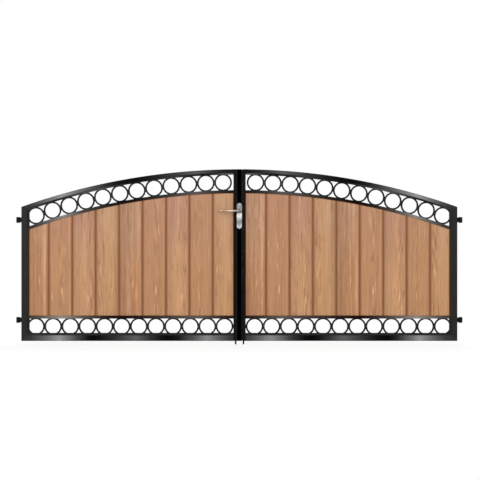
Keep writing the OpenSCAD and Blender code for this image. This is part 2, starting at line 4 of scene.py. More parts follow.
import bmesh
import bpy
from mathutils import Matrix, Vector


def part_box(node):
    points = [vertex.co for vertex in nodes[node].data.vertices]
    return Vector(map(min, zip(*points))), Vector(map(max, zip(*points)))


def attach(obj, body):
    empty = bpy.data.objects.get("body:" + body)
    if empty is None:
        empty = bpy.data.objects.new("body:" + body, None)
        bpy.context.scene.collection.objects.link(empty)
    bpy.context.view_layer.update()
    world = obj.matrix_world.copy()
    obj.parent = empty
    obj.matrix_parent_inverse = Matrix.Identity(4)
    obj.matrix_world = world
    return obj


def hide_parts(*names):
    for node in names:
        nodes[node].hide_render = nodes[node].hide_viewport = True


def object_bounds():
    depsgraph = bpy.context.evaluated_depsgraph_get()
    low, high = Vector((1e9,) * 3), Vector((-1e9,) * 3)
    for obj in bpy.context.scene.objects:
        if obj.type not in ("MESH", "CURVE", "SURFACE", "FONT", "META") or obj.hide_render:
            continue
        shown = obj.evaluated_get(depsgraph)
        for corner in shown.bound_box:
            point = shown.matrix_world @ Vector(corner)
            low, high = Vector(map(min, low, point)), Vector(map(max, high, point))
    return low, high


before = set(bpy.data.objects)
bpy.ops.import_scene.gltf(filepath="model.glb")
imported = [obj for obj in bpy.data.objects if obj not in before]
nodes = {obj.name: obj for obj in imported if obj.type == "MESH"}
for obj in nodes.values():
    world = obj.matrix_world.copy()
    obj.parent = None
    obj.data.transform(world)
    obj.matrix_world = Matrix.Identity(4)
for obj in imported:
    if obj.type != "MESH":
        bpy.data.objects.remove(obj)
cadLow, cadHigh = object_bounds()
print("frame loaded:", len(nodes), "CAD nodes")

sides = {"left": -1, "right": 1}
whiteTone = 255   # screen tones run from 0 to this


# Small helpers for node trees
def addNode(tree, kind, inputs=None, **settings):
    made = tree.nodes.new("ShaderNode" + kind)
    for key, value in settings.items():
        setattr(made, key, value)
    for key, value in (inputs or {}).items():
        if isinstance(value, bpy.types.NodeSocket):
            tree.links.new(value, made.inputs[key])
        else:
            made.inputs[key].default_value = value
    return made


def calc(tree, operation, first, second=0.0):
    return addNode(tree, "Math", {0: first, 1: second}, operation=operation).outputs[0]


def plus(tree, first, second):
    return calc(tree, "ADD", first, second)


def minus(tree, first, second):
    return calc(tree, "SUBTRACT", first, second)


def times(tree, first, second):
    return calc(tree, "MULTIPLY", first, second)


def divided(tree, first, second):
    return calc(tree, "DIVIDE", first, second)


def diagonal(tree, first, second):
    return calc(tree, "SQRT", plus(tree, times(tree, first, first), times(tree, second, second)))


def smoothBetween(tree, value, low, high):
    # 0 at the low value and 1 at the high one, which may be the smaller of the two
    made = addNode(tree, "MapRange", {"Value": value, "From Min": low, "From Max": high},
                   interpolation_type="SMOOTHSTEP")
    return made.outputs["Result"]


def scaledTo(tree, share, low, high):
    return addNode(tree, "MapRange", {"Value": share, "To Min": low, "To Max": high}).outputs["Result"]


def blendColour(tree, amount, under, over, mode="MIX"):
    made = addNode(tree, "Mix", {0: amount, 6: under, 7: over}, data_type="RGBA", blend_type=mode)
    return made.outputs[2]


def grey(tree, value):
    return addNode(tree, "CombineColor", {"Red": value, "Green": value, "Blue": value}).outputs[0]


def noise(tree, vector, scale, detail=2.0, roughness=0.5):
    made = addNode(tree, "TexNoise", {"Vector": vector, "Scale": scale, "Detail": detail,
                                      "Roughness": roughness})
    return made.outputs["Fac"]


def stretched(tree, vector, scale=(1.0, 1.0, 1.0), shift=(0.0, 0.0, 0.0)):
    made = addNode(tree, "Mapping", {"Vector": vector, "Scale": scale, "Location": shift})
    return made.outputs["Vector"]


def axes(tree, vector):
    return addNode(tree, "SeparateXYZ", {0: vector}).outputs


def setStops(ramp, stops):
    # stops: places from 0 to 1 in rising order, with a grey value or a colour
    points = ramp.color_ramp.elements
    while len(points) < len(stops):
        points.new(1.0)
    for point, (place, shade) in zip(points, stops):
        point.position = place
        point.color = shade if isinstance(shade, tuple) else (shade, shade, shade, 1.0)


def colour(red, green, blue):
    # a screen colour as Blender's linear colour
    toned = [value / whiteTone for value in (red, green, blue)]
    linear = [t / 12.92 if t <= 0.04045 else ((t + 0.055) / 1.055) ** 2.4 for t in toned]
    return (*linear, 1.0)


def newMaterial(name, **sockets):
    made = bpy.data.materials.new(name)
    made.use_nodes = True
    tree = made.node_tree
    shader = tree.nodes["Principled BSDF"]
    for key, value in sockets.items():
        shader.inputs[key.replace("_", " ")].default_value = value
    coords = tree.nodes.new("ShaderNodeTexCoord")
    return made, tree, shader, coords


def addBump(tree, shader, height, strength, distance):
    made = addNode(tree, "Bump", {"Height": height, "Strength": strength, "Distance": distance})
    tree.links.new(made.outputs["Normal"], shader.inputs["Normal"])


# and two for the CAD nodes
def coverWith(node, material):
    node.data.materials.clear()
    node.data.materials.append(material)


def faceX(name, way):
    # where a CAD node ends along X, on the side that way points to
    low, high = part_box(name)
    return high.x if way > 0 else low.x


# Black powder coat: a near-black satin skin, with soft grey streaks along each member that are painted
# reflections, and a warm painted reflection of the boards beside them
coatLook = {
    "pebbleScale": 900.0,         # bumps a metre
    "pebbleHeight": 0.00006,
    "pebbleStrength": 0.35,
    "driftScale": 9.0,            # patches a metre of slow change in tone and gloss
    "toneDrift": (0.85, 1.15),    # the darkest and lightest patch, as shares of the coat's tone
    "roughness": (0.33, 0.43),
    "archRadius": 4.4,
    "litGain": 1.4,               # how much lighter a matt face looks than its own colour
    "screenGamma": 2.2,
    "reflectionEnd": 1.6,             # metres along a member that the painted reflection streaks are laid out over
    "boardsFoot": 0.186,          # height at which the boards start
    "boardsRadius": 4.245,        # and how far from the arch's centre they end
    "reflectionFade": 0.01,             # metres over which the boards' painted reflection fades, to each side of those two places
    "reflectionFacing": (-0.4, -0.8),   # normals' Y at none and at all of the boards' painted reflection; a front face has -1
    # tone multiplied onto the painted streaks where the boards' painted reflection lies
    "boardReflectionOnStreaks": (1.0, 0.8, 0.64, 1.0),
    "rearFacing": (-0.9, -0.4),   # normals' Y where the rear coat starts and where it is complete, in place of the front's painted shade
    "rearGloss": 0.08,
}
archCentreZ = cadHigh.z - coatLook["archRadius"]
# painted light on the coat: places from the centre line in metres, with how light the coat looks there as a screen
# tone; painted reflection streaks on the rails, and on the lock post painted shade with painted highlights at its
# edges
paintedCoatLight = {
    "arch": ((0.0, 8), (0.3, 90), (0.765, 0), (1.22, 152), (1.46, 54)),
    "upper": ((0.0, 12), (0.3, 90), (0.83, 4), (1.1, 74), (1.25, 142), (1.4, 84), (1.46, 60)),
    "lower": ((0.0, 14), (0.28, 100), (0.6, 48), (0.8, 4), (1.0, 72), (1.2, 152), (1.42, 66)),
    "bottom": ((0.0, 38), (0.22, 148), (0.473, 0), (0.7, 102), (1.0, 0), (1.215, 160), (1.4, 64), (1.5, 52)),
    "band": ((0.0, 92), (0.11, 84), (0.24, 6), (0.44, 66), (0.72, 16), (1.0, 92), (1.26, 28), (1.42, 58)),
    "post": ((0.0, 0), (0.009, 1), (0.0125, 9), (0.0155, 30), (0.0175, 54), (0.02, 58)),
}


def alongArch(tree, place):
    # length along the arch from the centre line, the same on both leaves
    parts = axes(tree, place)
    sideways = calc(tree, "ABSOLUTE", parts["X"])
    angle = calc(tree, "ARCTAN2", sideways, minus(tree, parts["Z"], archCentreZ))
    return times(tree, angle, coatLook["archRadius"])


def alongStraight(tree, place):
    return calc(tree, "ABSOLUTE", axes(tree, place)["X"])


def paintedReflectionColour(tree, along, stops):
    # the painted reflection's stops are blended as screen tones and then turned into a linear base colour
    end = coatLook["reflectionEnd"]
    ramp = addNode(tree, "ValToRGB", {0: divided(tree, along, end)})
    setStops(ramp, [(place / end, tone / whiteTone) for place, tone in stops])
    linear = calc(tree, "POWER", ramp.outputs["Color"], coatLook["screenGamma"])
    return grey(tree, divided(tree, linear, coatLook["litGain"]))


def besideBoards(tree, place):
    # where the boards' painted reflection goes: 1 between the two channels that hold the boards, 0 by the rings
    parts = axes(tree, place)
    foot, top, fade = coatLook["boardsFoot"], coatLook["boardsRadius"], coatLook["reflectionFade"]
    overFoot = smoothBetween(tree, parts["Z"], foot - fade, foot + fade)
    radius = diagonal(tree, parts["X"], minus(tree, parts["Z"], archCentreZ))
    return times(tree, overFoot, smoothBetween(tree, radius, top + fade, top - fade))


def powderCoat(name, tone, gloss, stops=None, curved=False, wander=0.05, boardReflection=None, rear=None):
    # wander: metres by which the painted reflection streaks stray; then the tone of the boards' painted reflection
    # beside them; rear: tone of the other faces, while the front ones carry painted shade
    made, tree, shader, coords = newMaterial(name, Roughness=0.38, IOR=1.5)
    shader.inputs["Specular IOR Level"].default_value = gloss
    place = coords.outputs["Object"]
    pebbles = noise(tree, place, coatLook["pebbleScale"], 3.0)
    drift = noise(tree, place, coatLook["driftScale"], 3.0)
    darker, lighter = [colour(*[part * share for part in tone]) for share in coatLook["toneDrift"]]
    base = blendColour(tree, drift, darker, lighter)
    if boardReflection or rear:
        facing = axes(tree, coords.outputs["Normal"])["Y"]
    if boardReflection:
        # the boards' painted reflection lies only on the faces to the front
        boardReflectionShare = times(tree, besideBoards(tree, place), smoothBetween(tree, facing, *coatLook["reflectionFacing"]))
        base = blendColour(tree, boardReflectionShare, base, colour(*boardReflection))
    # painted reflections: light streaks along the member
    if stops:
        along = (alongArch if curved else alongStraight)(tree, place)
        stray = times(tree, minus(tree, drift, 0.5), wander)
        paintedLight = paintedReflectionColour(tree, plus(tree, along, stray), stops)
        if boardReflection:
            # the boards' painted reflection warms the painted streaks as well
            paintedLight = blendColour(tree, boardReflectionShare, paintedLight, coatLook["boardReflectionOnStreaks"], "MULTIPLY")
        base = blendColour(tree, 1.0, base, paintedLight, "ADD")
    if rear:
        # the front faces carry painted shade; the faces that don't look to the front are a plain coat with its
        # usual gloss
        turned = smoothBetween(tree, facing, *coatLook["rearFacing"])
        base = blendColour(tree, turned, base, colour(*rear))
        glossy = scaledTo(tree, turned, gloss, coatLook["rearGloss"])
        tree.links.new(glossy, shader.inputs["Specular IOR Level"])
    tree.links.new(base, shader.inputs["Base Color"])
    tree.links.new(scaledTo(tree, drift, *coatLook["roughness"]), shader.inputs["Roughness"])
    addBump(tree, shader, pebbles, coatLook["pebbleStrength"], coatLook["pebbleHeight"])
    return made


coats = {
    "hinge_stile": powderCoat("coatHingeStile", (32, 32, 33), 0.08),
    # the last tones of the meeting stile, channels and beads are a painted reflection of the boards beside them
    "meeting_stile": powderCoat("coatMeetingStile", (22, 22, 22), 0.01, boardReflection=(27, 17, 11)),
    # lock post: its front is painted shade, near black, with painted highlights on its rounded edges; its other
    # faces are the plain coat
    "lock_post": powderCoat("coatLockPost", (0, 1, 1), 0.0, paintedCoatLight["post"], wander=0.0, rear=(22, 22, 23)),
    "bottom_rail": powderCoat("coatBottomRail", (3, 3, 3), 0.03, paintedCoatLight["bottom"]),
    "arch_rail": powderCoat("coatArchRail", (3, 3, 3), 0.03, paintedCoatLight["arch"], True),
    "ring_band": powderCoat("coatRingBand", (5, 5, 5), 0.04, paintedCoatLight["band"], True),
    "upper_channel": powderCoat("coatUpperChannel", (3, 3, 3), 0.03, paintedCoatLight["upper"], True, boardReflection=(36, 14, 3)),
    "lower_channel": powderCoat("coatLowerChannel", (3, 3, 3), 0.03, paintedCoatLight["lower"], boardReflection=(36, 14, 3)),
    "retaining_beads": powderCoat("coatRetainingBeads", (30, 30, 30), 0.05, boardReflection=(48, 36, 20)),
    "rings": powderCoat("coatRings", (26, 26, 27), 0.08),
    "fittings": powderCoat("coatFittings", (16, 16, 17), 0.06),
}
print("powder coats:", len(coats))


# Oiled softwood boards: growth rings cut along the stem, streaked and flecked, darker along the joints by a stain
# and painted shade
timberLook = {
    "seed": 4,
    "tongue": 0.0077,               # how far a board's tongue reaches past its joint
    "cutShift": (3.0, 0.2, 3.0),    # how far a board's noises are moved at most, along X, Y and Z
    "pithSideways": 0.035,
    "pithBehind": (0.06, 0.12),     # least and most distance of the pith behind the face
    "lean": (0.018, 0.05),          # how fast the pith comes closer on the way up
    "ringPitch": 0.0052,
    "ringMeander": 0.026,           # metres by which a ring strays at most
    "ringUneven": 1.5,              # pitches by which the rings' spacing strays
    "unevenScale": 0.7,             # how often that changes, for each pitch
    "lateStarts": (0.25, 0.85),     # late wood within a ring, whose width is 1
    "lateEnds": (0.92, 1.0),
    "lateInZone": 0.22,             # how much stronger the late wood is where the figure gathers
    "sway": 0.004,                  # metres by which the grain strays sideways, times the flow
    "climb": (0.35, 0.95),          # heights between which the foot's colour goes over to the top's
    "climbDrift": 0.5,              # metres by which those heights stray across a board
    "zoneCore": 0.45,               # share of the figure's zone where it is at full strength
    "gatherFrom": 0.35,             # share of the zone above which it draws flecks and keeps marks off
    "gatherBy": 0.16,               # how much it moves the noise that makes clusters
    "loneHalf": (0.0075, 0.045),    # half a lone fleck's width and height
    "loneFade": (1.4, 0.6),         # its faint rim and its full core, in those halves
    "loneRagged": 0.8,              # how much the fibres fray its outline
    "loneShift": 0.006,             # how much a board's own shift moves it up or down
    "acrossUnit": 100,              # the stops across a board are in hundredths
    "acrossGain": 1.2,              # light that a stop of the whole unit would add
    "hairlines": (0.2, 0.6),        # their strength, and what the streaks' strength adds to it
    "stainAndShadeFade": (0.005, 0.018),    # distances from a joint where its stain and painted shade start to fade and are gone
    "bevelFacing": (0.35, 0.65),    # normals' X where a bevel's stain and painted shade start and where they are full
    "roughness": (0.56, 0.42),      # of early and of late wood
    "fibreHeight": 0.6,             # shares of fibres and late wood in the surface's relief
    "lateHeight": 0.4,
    "reliefStrength": 0.4,
    "reliefHeight": 0.0005,
}
# what is laid over a board's own colour: tone, strength, and noise values that it fades in between
grain = {
    "lateWood": {"tone": (140, 94, 62), "strength": 0.12},
    "darkStreak": {"tone": (138, 94, 62), "strength": 0.8, "fade": (0.5, 0.72)},
    "paleStreak": {"tone": (192, 154, 124), "strength": 0.7, "fade": (0.48, 0.28)},
    "mark": {"tone": (134, 90, 60), "strength": 0.75, "fade": (0.46, 0.32), "clusterFade": (0.54, 0.42)},
    "fleck": {"tone": (206, 164, 122), "strength": 0.75, "fade": (0.58, 0.7), "clusterFade": (0.48, 0.6)},
    "fibre": {"tone": (130, 88, 58), "strength": 0.18, "fade": (0.36, 0.64)},
    "grooveStainAndShade": {"tone": (135, 88, 57), "strength": 0.85},
}
# noises in the grain: how fast each changes across and along a board; without "along" it takes the cut's flow
grainNoises = {
    "sway": {"across": 5.0, "along": 2.2, "detail": 3.0},
    "ringMeander": {"across": 9.0, "along": 2.4, "detail": 3.0, "roughness": 0.55},
    "fibre": {"across": 1.0, "along": 0.014, "scale": 420.0, "detail": 3.0, "roughness": 0.6},
    "streak": {"across": 62.0, "detail": 3.0, "roughness": 0.6},
    "spot": {"across": 85.0, "along": 9.0, "shift": (3.1, 0.0, 1.7), "detail": 1.5},
    "cluster": {"across": 16.0, "along": 5.0, "shift": (0.0, 0.0, 5.3), "detail": 1.0},
    "hairline": {"across": 150.0, "shift": (0.0, 2.3, 0.0), "detail": 2.0},
    "climb": {"across": 12.0, "along": 1.6, "detail": 2.0},
}
# the cuts of board, with places across a board in metres from its middle:
# foot and top are its colours; streaks, flecks and marks say how strong each is; flow is how often the streaks
# change along the grain; figure is the middle and half width of the zone where flecks gather; lone is one long
# fleck's place, height and strength; across is how much lighter or darker on the screen it is at each place
boardCuts = {
    "striped": {
        "foot": (166, 119, 81), "top": (164, 126, 98), "streaks": 0.75, "flecks": 0.3, "marks": 0.5,
        "flow": 1.7, "figure": (0.0, 0.09), "lone": (0.016, 0.42, 0.45),
        "across": ((-0.066, -6), (-0.05, -13), (-0.032, -2), (0.004, -2), (0.0155, 9), (0.027, 3),
                   (0.038, 13), (0.056, 15), (0.066, 6)),
    },
    "flamed": {
        "foot": (172, 126, 87), "top": (168, 123, 93), "streaks": 0.3, "flecks": 0.55, "marks": 0.5,
        "flow": 4.0, "figure": (0.012, 0.034), "lone": (0.009, 0.36, 0.9),
        "across": ((-0.05, 0), (0.02, 0), (0.04, -5), (0.056, 1), (0.066, 12)),
    },
    "banded": {
        "foot": (182, 137, 97), "top": (167, 124, 99), "streaks": 0.35, "flecks": 0.45, "marks": 0.9,
        "flow": 4.0, "figure": (0.046, 0.034), "lone": (0.03, 0.31, 0.85),
        "across": ((-0.066, -12), (-0.048, -9), (-0.026, -2), (0.0, 6), (0.024, 5), (0.038, -2), (0.066, -1)),
    },
    "honey": {
        "foot": (180, 135, 93), "top": (178, 137, 103), "streaks": 0.4, "flecks": 0.5, "marks": 0.8,
        "flow": 3.5, "figure": (-0.05, 0.036), "lone": (-0.048, 0.49, 0.6),
        "across": ((-0.062, -7), (-0.02, 0), (0.034, 0), (0.05, -12), (0.066, -17)),
    },
    "plain": {
        "foot": (172, 126, 87), "top": (168, 124, 92), "streaks": 0.35, "flecks": 0.5, "marks": 0.5,
        "flow": 4.0, "figure": (-0.02, 0.036), "lone": (-0.013, 0.33, 0.5),
        "across": ((-0.05, -4), (-0.03, 0), (0.03, 0), (0.06, -3)),
    },
}
# from the centre line outwards
boardRows = {
    "left": ("honey", "plain", "banded", "flamed", "striped", "honey", "banded", "flamed", "striped"),
    "right": ("striped", "flamed", "banded", "honey", "striped", "flamed", "banded", "plain", "honey"),
}


def boardPitch():
    return abs(faceX("right_board_3", -1) - faceX("right_board_2", -1))


def boardLayout(side, number):
    # middle of a board's face, and its edges that have a joint, along X
    sign = sides[side]
    name = f"{side}_board_{number}"
    inner, outer = faceX(name, -sign), faceX(name, sign)
    last = number == len(boardRows[side])
    if not last:
        outer -= sign * timberLook["tongue"]
    middle = outer - sign * boardPitch() / 2 if number == 1 else inner + sign * boardPitch() / 2
    return middle, ([] if number == 1 else [inner]) + ([] if last else [outer])


def pickStem(dice):
    # where in a stem a board was cut: its noises' shift, and the pith's place and lean
    return {
        "shift": tuple([dice.uniform(-reach, reach) for reach in timberLook["cutShift"]]),
        "pithX": dice.uniform(-1, 1) * timberLook["pithSideways"],
        "behind": dice.uniform(*timberLook["pithBehind"]),
        "lean": dice.uniform(*timberLook["lean"]) * dice.choice((-1, 1)),
    }


def grainNoise(tree, vector, name, flow=1.0):
    look = grainNoises[name]
    squeeze = (look["across"], look["across"], look.get("along", flow))
    place = stretched(tree, vector, squeeze, look.get("shift", (0.0, 0.0, 0.0)))
    return noise(tree, place, look.get("scale", 1.0), look["detail"], look.get("roughness", 0.5))


def grainShare(tree, value, name, strength=1.0):
    # how much of a layer of the grain shows where its noise has this value
    share = smoothBetween(tree, value, *grain[name]["fade"])
    return times(tree, share, strength * grain[name]["strength"])


def clustered(tree, spots, cluster, name, strength):
    # spots show only where the noise that makes clusters lets them
    share = times(tree, smoothBetween(tree, spots, *grain[name]["fade"]),
                  smoothBetween(tree, cluster, *grain[name]["clusterFade"]))
    return times(tree, share, strength * grain[name]["strength"])


def jointStainAndShade(tree, sideways, joints):
    # 1 along the board's joints, where stain and painted shade go, 0 away from them
    nearest = 1.0
    for joint in joints:
        nearest = calc(tree, "MINIMUM", nearest, calc(tree, "ABSOLUTE", minus(tree, sideways, joint)))
    return minus(tree, 1.0, smoothBetween(tree, nearest, *timberLook["stainAndShadeFade"]))


def acrossGain(tree, sideways, stops):
    # brightness across a board; a ramp can't hold less than 0, so it holds each change about its middle
    half = boardPitch() / 2
    ramp = addNode(tree, "ValToRGB", {0: divided(tree, plus(tree, sideways, half), 2 * half)})
    setStops(ramp, [((place + half) / (2 * half), 0.5 + change / timberLook["acrossUnit"])
                    for place, change in stops])
    return plus(tree, 1.0, times(tree, minus(tree, ramp.outputs["Color"], 0.5), timberLook["acrossGain"]))


def loneFleck(tree, sideways, height, spot, ragged):
    # one long pale fleck: its place across the board, its height and its strength
    halfWidth, halfHeight = timberLook["loneHalf"]
    away = divided(tree, minus(tree, sideways, spot[0]), halfWidth)
    above = divided(tree, minus(tree, height, spot[1]), halfHeight)
    distance = plus(tree, diagonal(tree, away, above), times(tree, ragged, timberLook["loneRagged"]))
    return times(tree, smoothBetween(tree, distance, *timberLook["loneFade"]), spot[2])


def lateWood(tree, bent, sideways, parts, stem):
    # 1 in the dark late wood of each growth ring about the pith
    across = minus(tree, sideways, stem["pithX"])
    depth = plus(tree, minus(tree, parts["Y"], stem["behind"]), times(tree, parts["Z"], stem["lean"]))
    meander = times(tree, grainNoise(tree, bent, "ringMeander"), timberLook["ringMeander"])
    radius = plus(tree, diagonal(tree, across, depth), meander)
    ringCount = divided(tree, radius, timberLook["ringPitch"])
    line = addNode(tree, "CombineXYZ", {"X": ringCount, "Y": stem["shift"][0]}).outputs[0]
    uneven = noise(tree, line, timberLook["unevenScale"], 1.0)
    season = calc(tree, "FRACT", plus(tree, ringCount, times(tree, uneven, timberLook["ringUneven"])))
    return times(tree, smoothBetween(tree, season, *timberLook["lateStarts"]),
                 minus(tree, 1.0, smoothBetween(tree, season, *timberLook["lateEnds"])))


def timber(name, middle, joints, cut, stem):
    made, tree, shader, coords = newMaterial(name, Roughness=0.5, IOR=1.48)
    shader.inputs["Specular IOR Level"].default_value = 0.3
    place = coords.outputs["Object"]
    world = axes(tree, place)
    parts = axes(tree, stretched(tree, place, shift=(-middle, 0.0, 0.0)))
    seeded = stretched(tree, place, shift=stem["shift"])

    # the grain strays a little sideways on its way up
    sway = times(tree, minus(tree, grainNoise(tree, seeded, "sway"), 0.5), timberLook["sway"] * cut["flow"])
    sideways = plus(tree, parts["X"], sway)
    swayed = addNode(tree, "CombineXYZ", {"X": sway}).outputs[0]
    bent = addNode(tree, "VectorMath", {0: seeded, 1: swayed}, operation="ADD").outputs[0]
    late = lateWood(tree, bent, sideways, parts, stem)
    fibre = grainNoise(tree, bent, "fibre")
    stripes = grainNoise(tree, bent, "streak", cut["flow"])

    # flecks gather in a zone of the board, and marks outside it
    spots = grainNoise(tree, bent, "spot")
    cluster = grainNoise(tree, bent, "cluster")
    zoneMiddle, zoneHalf = cut["figure"]
    fromZone = calc(tree, "ABSOLUTE", minus(tree, sideways, zoneMiddle))
    zone = smoothBetween(tree, fromZone, zoneHalf, zoneHalf * timberLook["zoneCore"])
    gather = times(tree, minus(tree, zone, timberLook["gatherFrom"]), timberLook["gatherBy"])
    flecks = clustered(tree, spots, plus(tree, cluster, gather), "fleck", cut["flecks"])
    marks = clustered(tree, spots, minus(tree, cluster, gather), "mark", cut["marks"])
    loneHeight = plus(tree, world["Z"], stem["shift"][0] * timberLook["loneShift"])
    lone = loneFleck(tree, sideways, loneHeight, cut["lone"], fibre)

    drift = times(tree, minus(tree, grainNoise(tree, seeded, "climb"), 0.5), timberLook["climbDrift"])
    climb = smoothBetween(tree, plus(tree, world["Z"], drift), *timberLook["climb"])
    base = blendColour(tree, climb, colour(*cut["foot"]), colour(*cut["top"]))
    lateShare = plus(tree, times(tree, zone, timberLook["lateInZone"]), grain["lateWood"]["strength"])
    layers = {
        "lateWood": times(tree, late, lateShare),
        "darkStreak": grainShare(tree, stripes, "darkStreak", cut["streaks"]),
        "paleStreak": grainShare(tree, stripes, "paleStreak", cut["streaks"]),
        "mark": marks,
        "fleck": calc(tree, "MAXIMUM", flecks, lone),
        "fibre": grainShare(tree, fibre, "fibre"),
    }
    for layer, share in layers.items():
        base = blendColour(tree, share, base, colour(*grain[layer]["tone"]))
    least, more = timberLook["hairlines"]
    hair = minus(tree, grainNoise(tree, bent, "hairline", cut["flow"]), 0.5)
    hair = times(tree, hair, least + more * cut["streaks"])
    gain = plus(tree, acrossGain(tree, sideways, cut["across"]), hair)
    base = blendColour(tree, 1.0, base, grey(tree, gain), "MULTIPLY")

    # the joints and their bevels are darker than the faces: partly more stain, partly painted shade in the grooves
    slant = calc(tree, "ABSOLUTE", axes(tree, coords.outputs["Normal"])["X"])
    bevelled = smoothBetween(tree, slant, *timberLook["bevelFacing"])
    stainAndShade = calc(tree, "MAXIMUM", jointStainAndShade(tree, world["X"], joints), bevelled)
    base = blendColour(tree, times(tree, stainAndShade, grain["grooveStainAndShade"]["strength"]), base,
                       colour(*grain["grooveStainAndShade"]["tone"]))
    tree.links.new(base, shader.inputs["Base Color"])

    tree.links.new(scaledTo(tree, late, *timberLook["roughness"]), shader.inputs["Roughness"])
    relief = plus(tree, times(tree, fibre, timberLook["fibreHeight"]), times(tree, late, timberLook["lateHeight"]))
    addBump(tree, shader, relief, timberLook["reliefStrength"], timberLook["reliefHeight"])
    return made


dice = random.Random(timberLook["seed"])
for side, cuts in boardRows.items():
    for number, cutName in enumerate(cuts, start=1):
        board = nodes[f"{side}_board_{number}"]
        middle, joints = boardLayout(side, number)
        coverWith(board, timber("timber_" + board.name, middle, joints, boardCuts[cutName], pickStem(dice)))
print("boards finished:", sum(len(cuts) for cuts in boardRows.values()))


# Bright and plain metals, rubber
metalLook = {
    "hairScale": 2600.0,
    "hairSqueeze": 0.03,       # a hairline's width against its length
    "hairStrength": 0.25,
    "hairHeight": 0.00004,
    "smoother": 0.5,           # how far a hairline goes below the roughness, as a share of its scratch above
    "cloudScale": 95.0,        # blotches a metre
    "cloudFade": (0.3, 0.7),
}
rubberLook = {
    "speckScale": 700.0,
    "tones": ((14, 14, 15), (30, 30, 31)),
    "speckStrength": 0.3,
    "speckHeight": 0.0001,
}
# painted light on polished fittings: painted reflections and highlights, and on the plate painted shade under the
# lever's neck, as screen tones at places along the lever's X and the plate's Z, in metres
paintedLightOnFittings = {
    "lever": ("X", ((-0.14, (196, 168, 149)), (-0.1, (152, 126, 107)), (-0.06, (214, 189, 170)),
                    (-0.034, (158, 149, 143)), (-0.015, (142, 139, 136)))),
    "plate": ("Z", ((0.784, (172, 171, 169)), (0.806, (170, 169, 167)), (0.831, (122, 121, 120)),
                    (0.85, (162, 161, 159)), (0.877, (216, 216, 213)), (0.893, (116, 115, 113)),
                    (0.92, (134, 133, 131)), (0.955, (136, 135, 133)))),
}


# painted reflections, highlights and shade along one axis of a fitting, as a colour
def paintedLightTone(tree, place, axis, stops):
    first, last = stops[0][0], stops[-1][0]
    spot = addNode(tree, "MapRange", {"Value": axes(tree, place)[axis], "From Min": first, "From Max": last})
    ramp = addNode(tree, "ValToRGB", {0: spot.outputs["Result"]})
    setStops(ramp, [((spotAt - first) / (last - first), colour(*tone)) for spotAt, tone in stops])
    return ramp.outputs["Color"]


def brushedMetal(name, tone, roughness, grainAlong="Z", scratch=0.12, blotches=0.1):
    # tone: a screen colour, or the name of the fitting's painted reflections and shade
    made, tree, shader, coords = newMaterial(name, Metallic=1.0, Roughness=roughness)
    place = coords.outputs["Object"]
    squeeze = [metalLook["hairSqueeze"] if axis == grainAlong else 1.0 for axis in "XYZ"]
    hairlines = noise(tree, stretched(tree, place, squeeze), metalLook["hairScale"], 3.0, 0.6)
    cloud = smoothBetween(tree, noise(tree, place, metalLook["cloudScale"]), *metalLook["cloudFade"])
    rough = scaledTo(tree, hairlines, roughness - scratch * metalLook["smoother"], roughness + scratch)
    tree.links.new(rough, shader.inputs["Roughness"])
    clean = paintedLightTone(tree, place, *paintedLightOnFittings[tone]) if tone in paintedLightOnFittings else colour(*tone)[:3]
    dull = scaledTo(tree, cloud, 1.0 + blotches, 1.0 - blotches)
    worn = addNode(tree, "VectorMath", {0: clean, "Scale": dull}, operation="SCALE")
    tree.links.new(worn.outputs[0], shader.inputs["Base Color"])
    addBump(tree, shader, hairlines, metalLook["hairStrength"], metalLook["hairHeight"])
    return made


def rubberSkin():
    made, tree, shader, coords = newMaterial("rubberSeal", Roughness=0.75)
    specks = noise(tree, coords.outputs["Object"], rubberLook["speckScale"], 3.0)
    dark, pale = [colour(*tone) for tone in rubberLook["tones"]]
    tree.links.new(blendColour(tree, specks, dark, pale), shader.inputs["Base Color"])
    addBump(tree, shader, specks, rubberLook["speckStrength"], rubberLook["speckHeight"])
    return made


metals = {
    "plate": brushedMetal("satinPlate", "plate", 0.3, blotches=0.22),
    "screw": brushedMetal("satinScrew", (176, 175, 172), 0.3),
    "lever": brushedMetal("satinLever", "lever", 0.22, "X", 0.08),
    "lock": brushedMetal("zincSteel", (168, 171, 176), 0.36),
    "lockScrew": brushedMetal("darkenedScrew", (88, 89, 92), 0.34),
    "cylinder": brushedMetal("nickelCylinder", (134, 132, 129), 0.26, "Y", 0.08),
    "plug": brushedMetal("brassPlug", (140, 135, 126), 0.3, "Y", 0.08),
    "pin": brushedMetal("pinSteel", (150, 152, 156), 0.32),
}
rubber = rubberSkin()

plainFinishes = {
    "hinge_pins": metals["pin"],
    "closing_seal": rubber,
    "lock_case": metals["lock"],
    "strike_plate": metals["lock"],
    "latch_bolt": metals["lock"],
    "deadbolt": metals["lock"],
    "spindle": metals["lock"],
    "follower": metals["lock"],
    "front_lever_plate": metals["plate"],
    "rear_lever_plate": metals["plate"],
    "plate_screws": metals["screw"],
    "front_lever": metals["lever"],
    "rear_lever": metals["lever"],
    "key_cylinder": metals["cylinder"],
    "key_plug": metals["plug"],
    "lock_post": coats["lock_post"],
}
memberFinishes = {
    "upper_rings": "rings",
    "lower_rings": "rings",
    "hinge_eyes": "fittings",
    "rod_guides": "fittings",
    "drop_rod": "fittings",
}
for name, node in nodes.items():
    if "_board_" not in name:
        member = name.partition("_")[2]
        coverWith(node, plainFinishes.get(name) or coats[memberFinishes.get(member, member)])
print("steel and fittings finished")


# Small pieces built here: a helper that finishes one, and two plain forms
def finishPiece(name, mesh, material, body, smooth=True):
    bmesh.ops.recalc_face_normals(mesh, faces=mesh.faces)
    data = bpy.data.meshes.new(name)
    mesh.to_mesh(data)
    mesh.free()
    data.materials.append(material)
    piece = bpy.data.objects.new(name, data)
    bpy.context.scene.collection.objects.link(piece)
    if smooth:
        data.shade_smooth()
    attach(piece, body)
    return piece


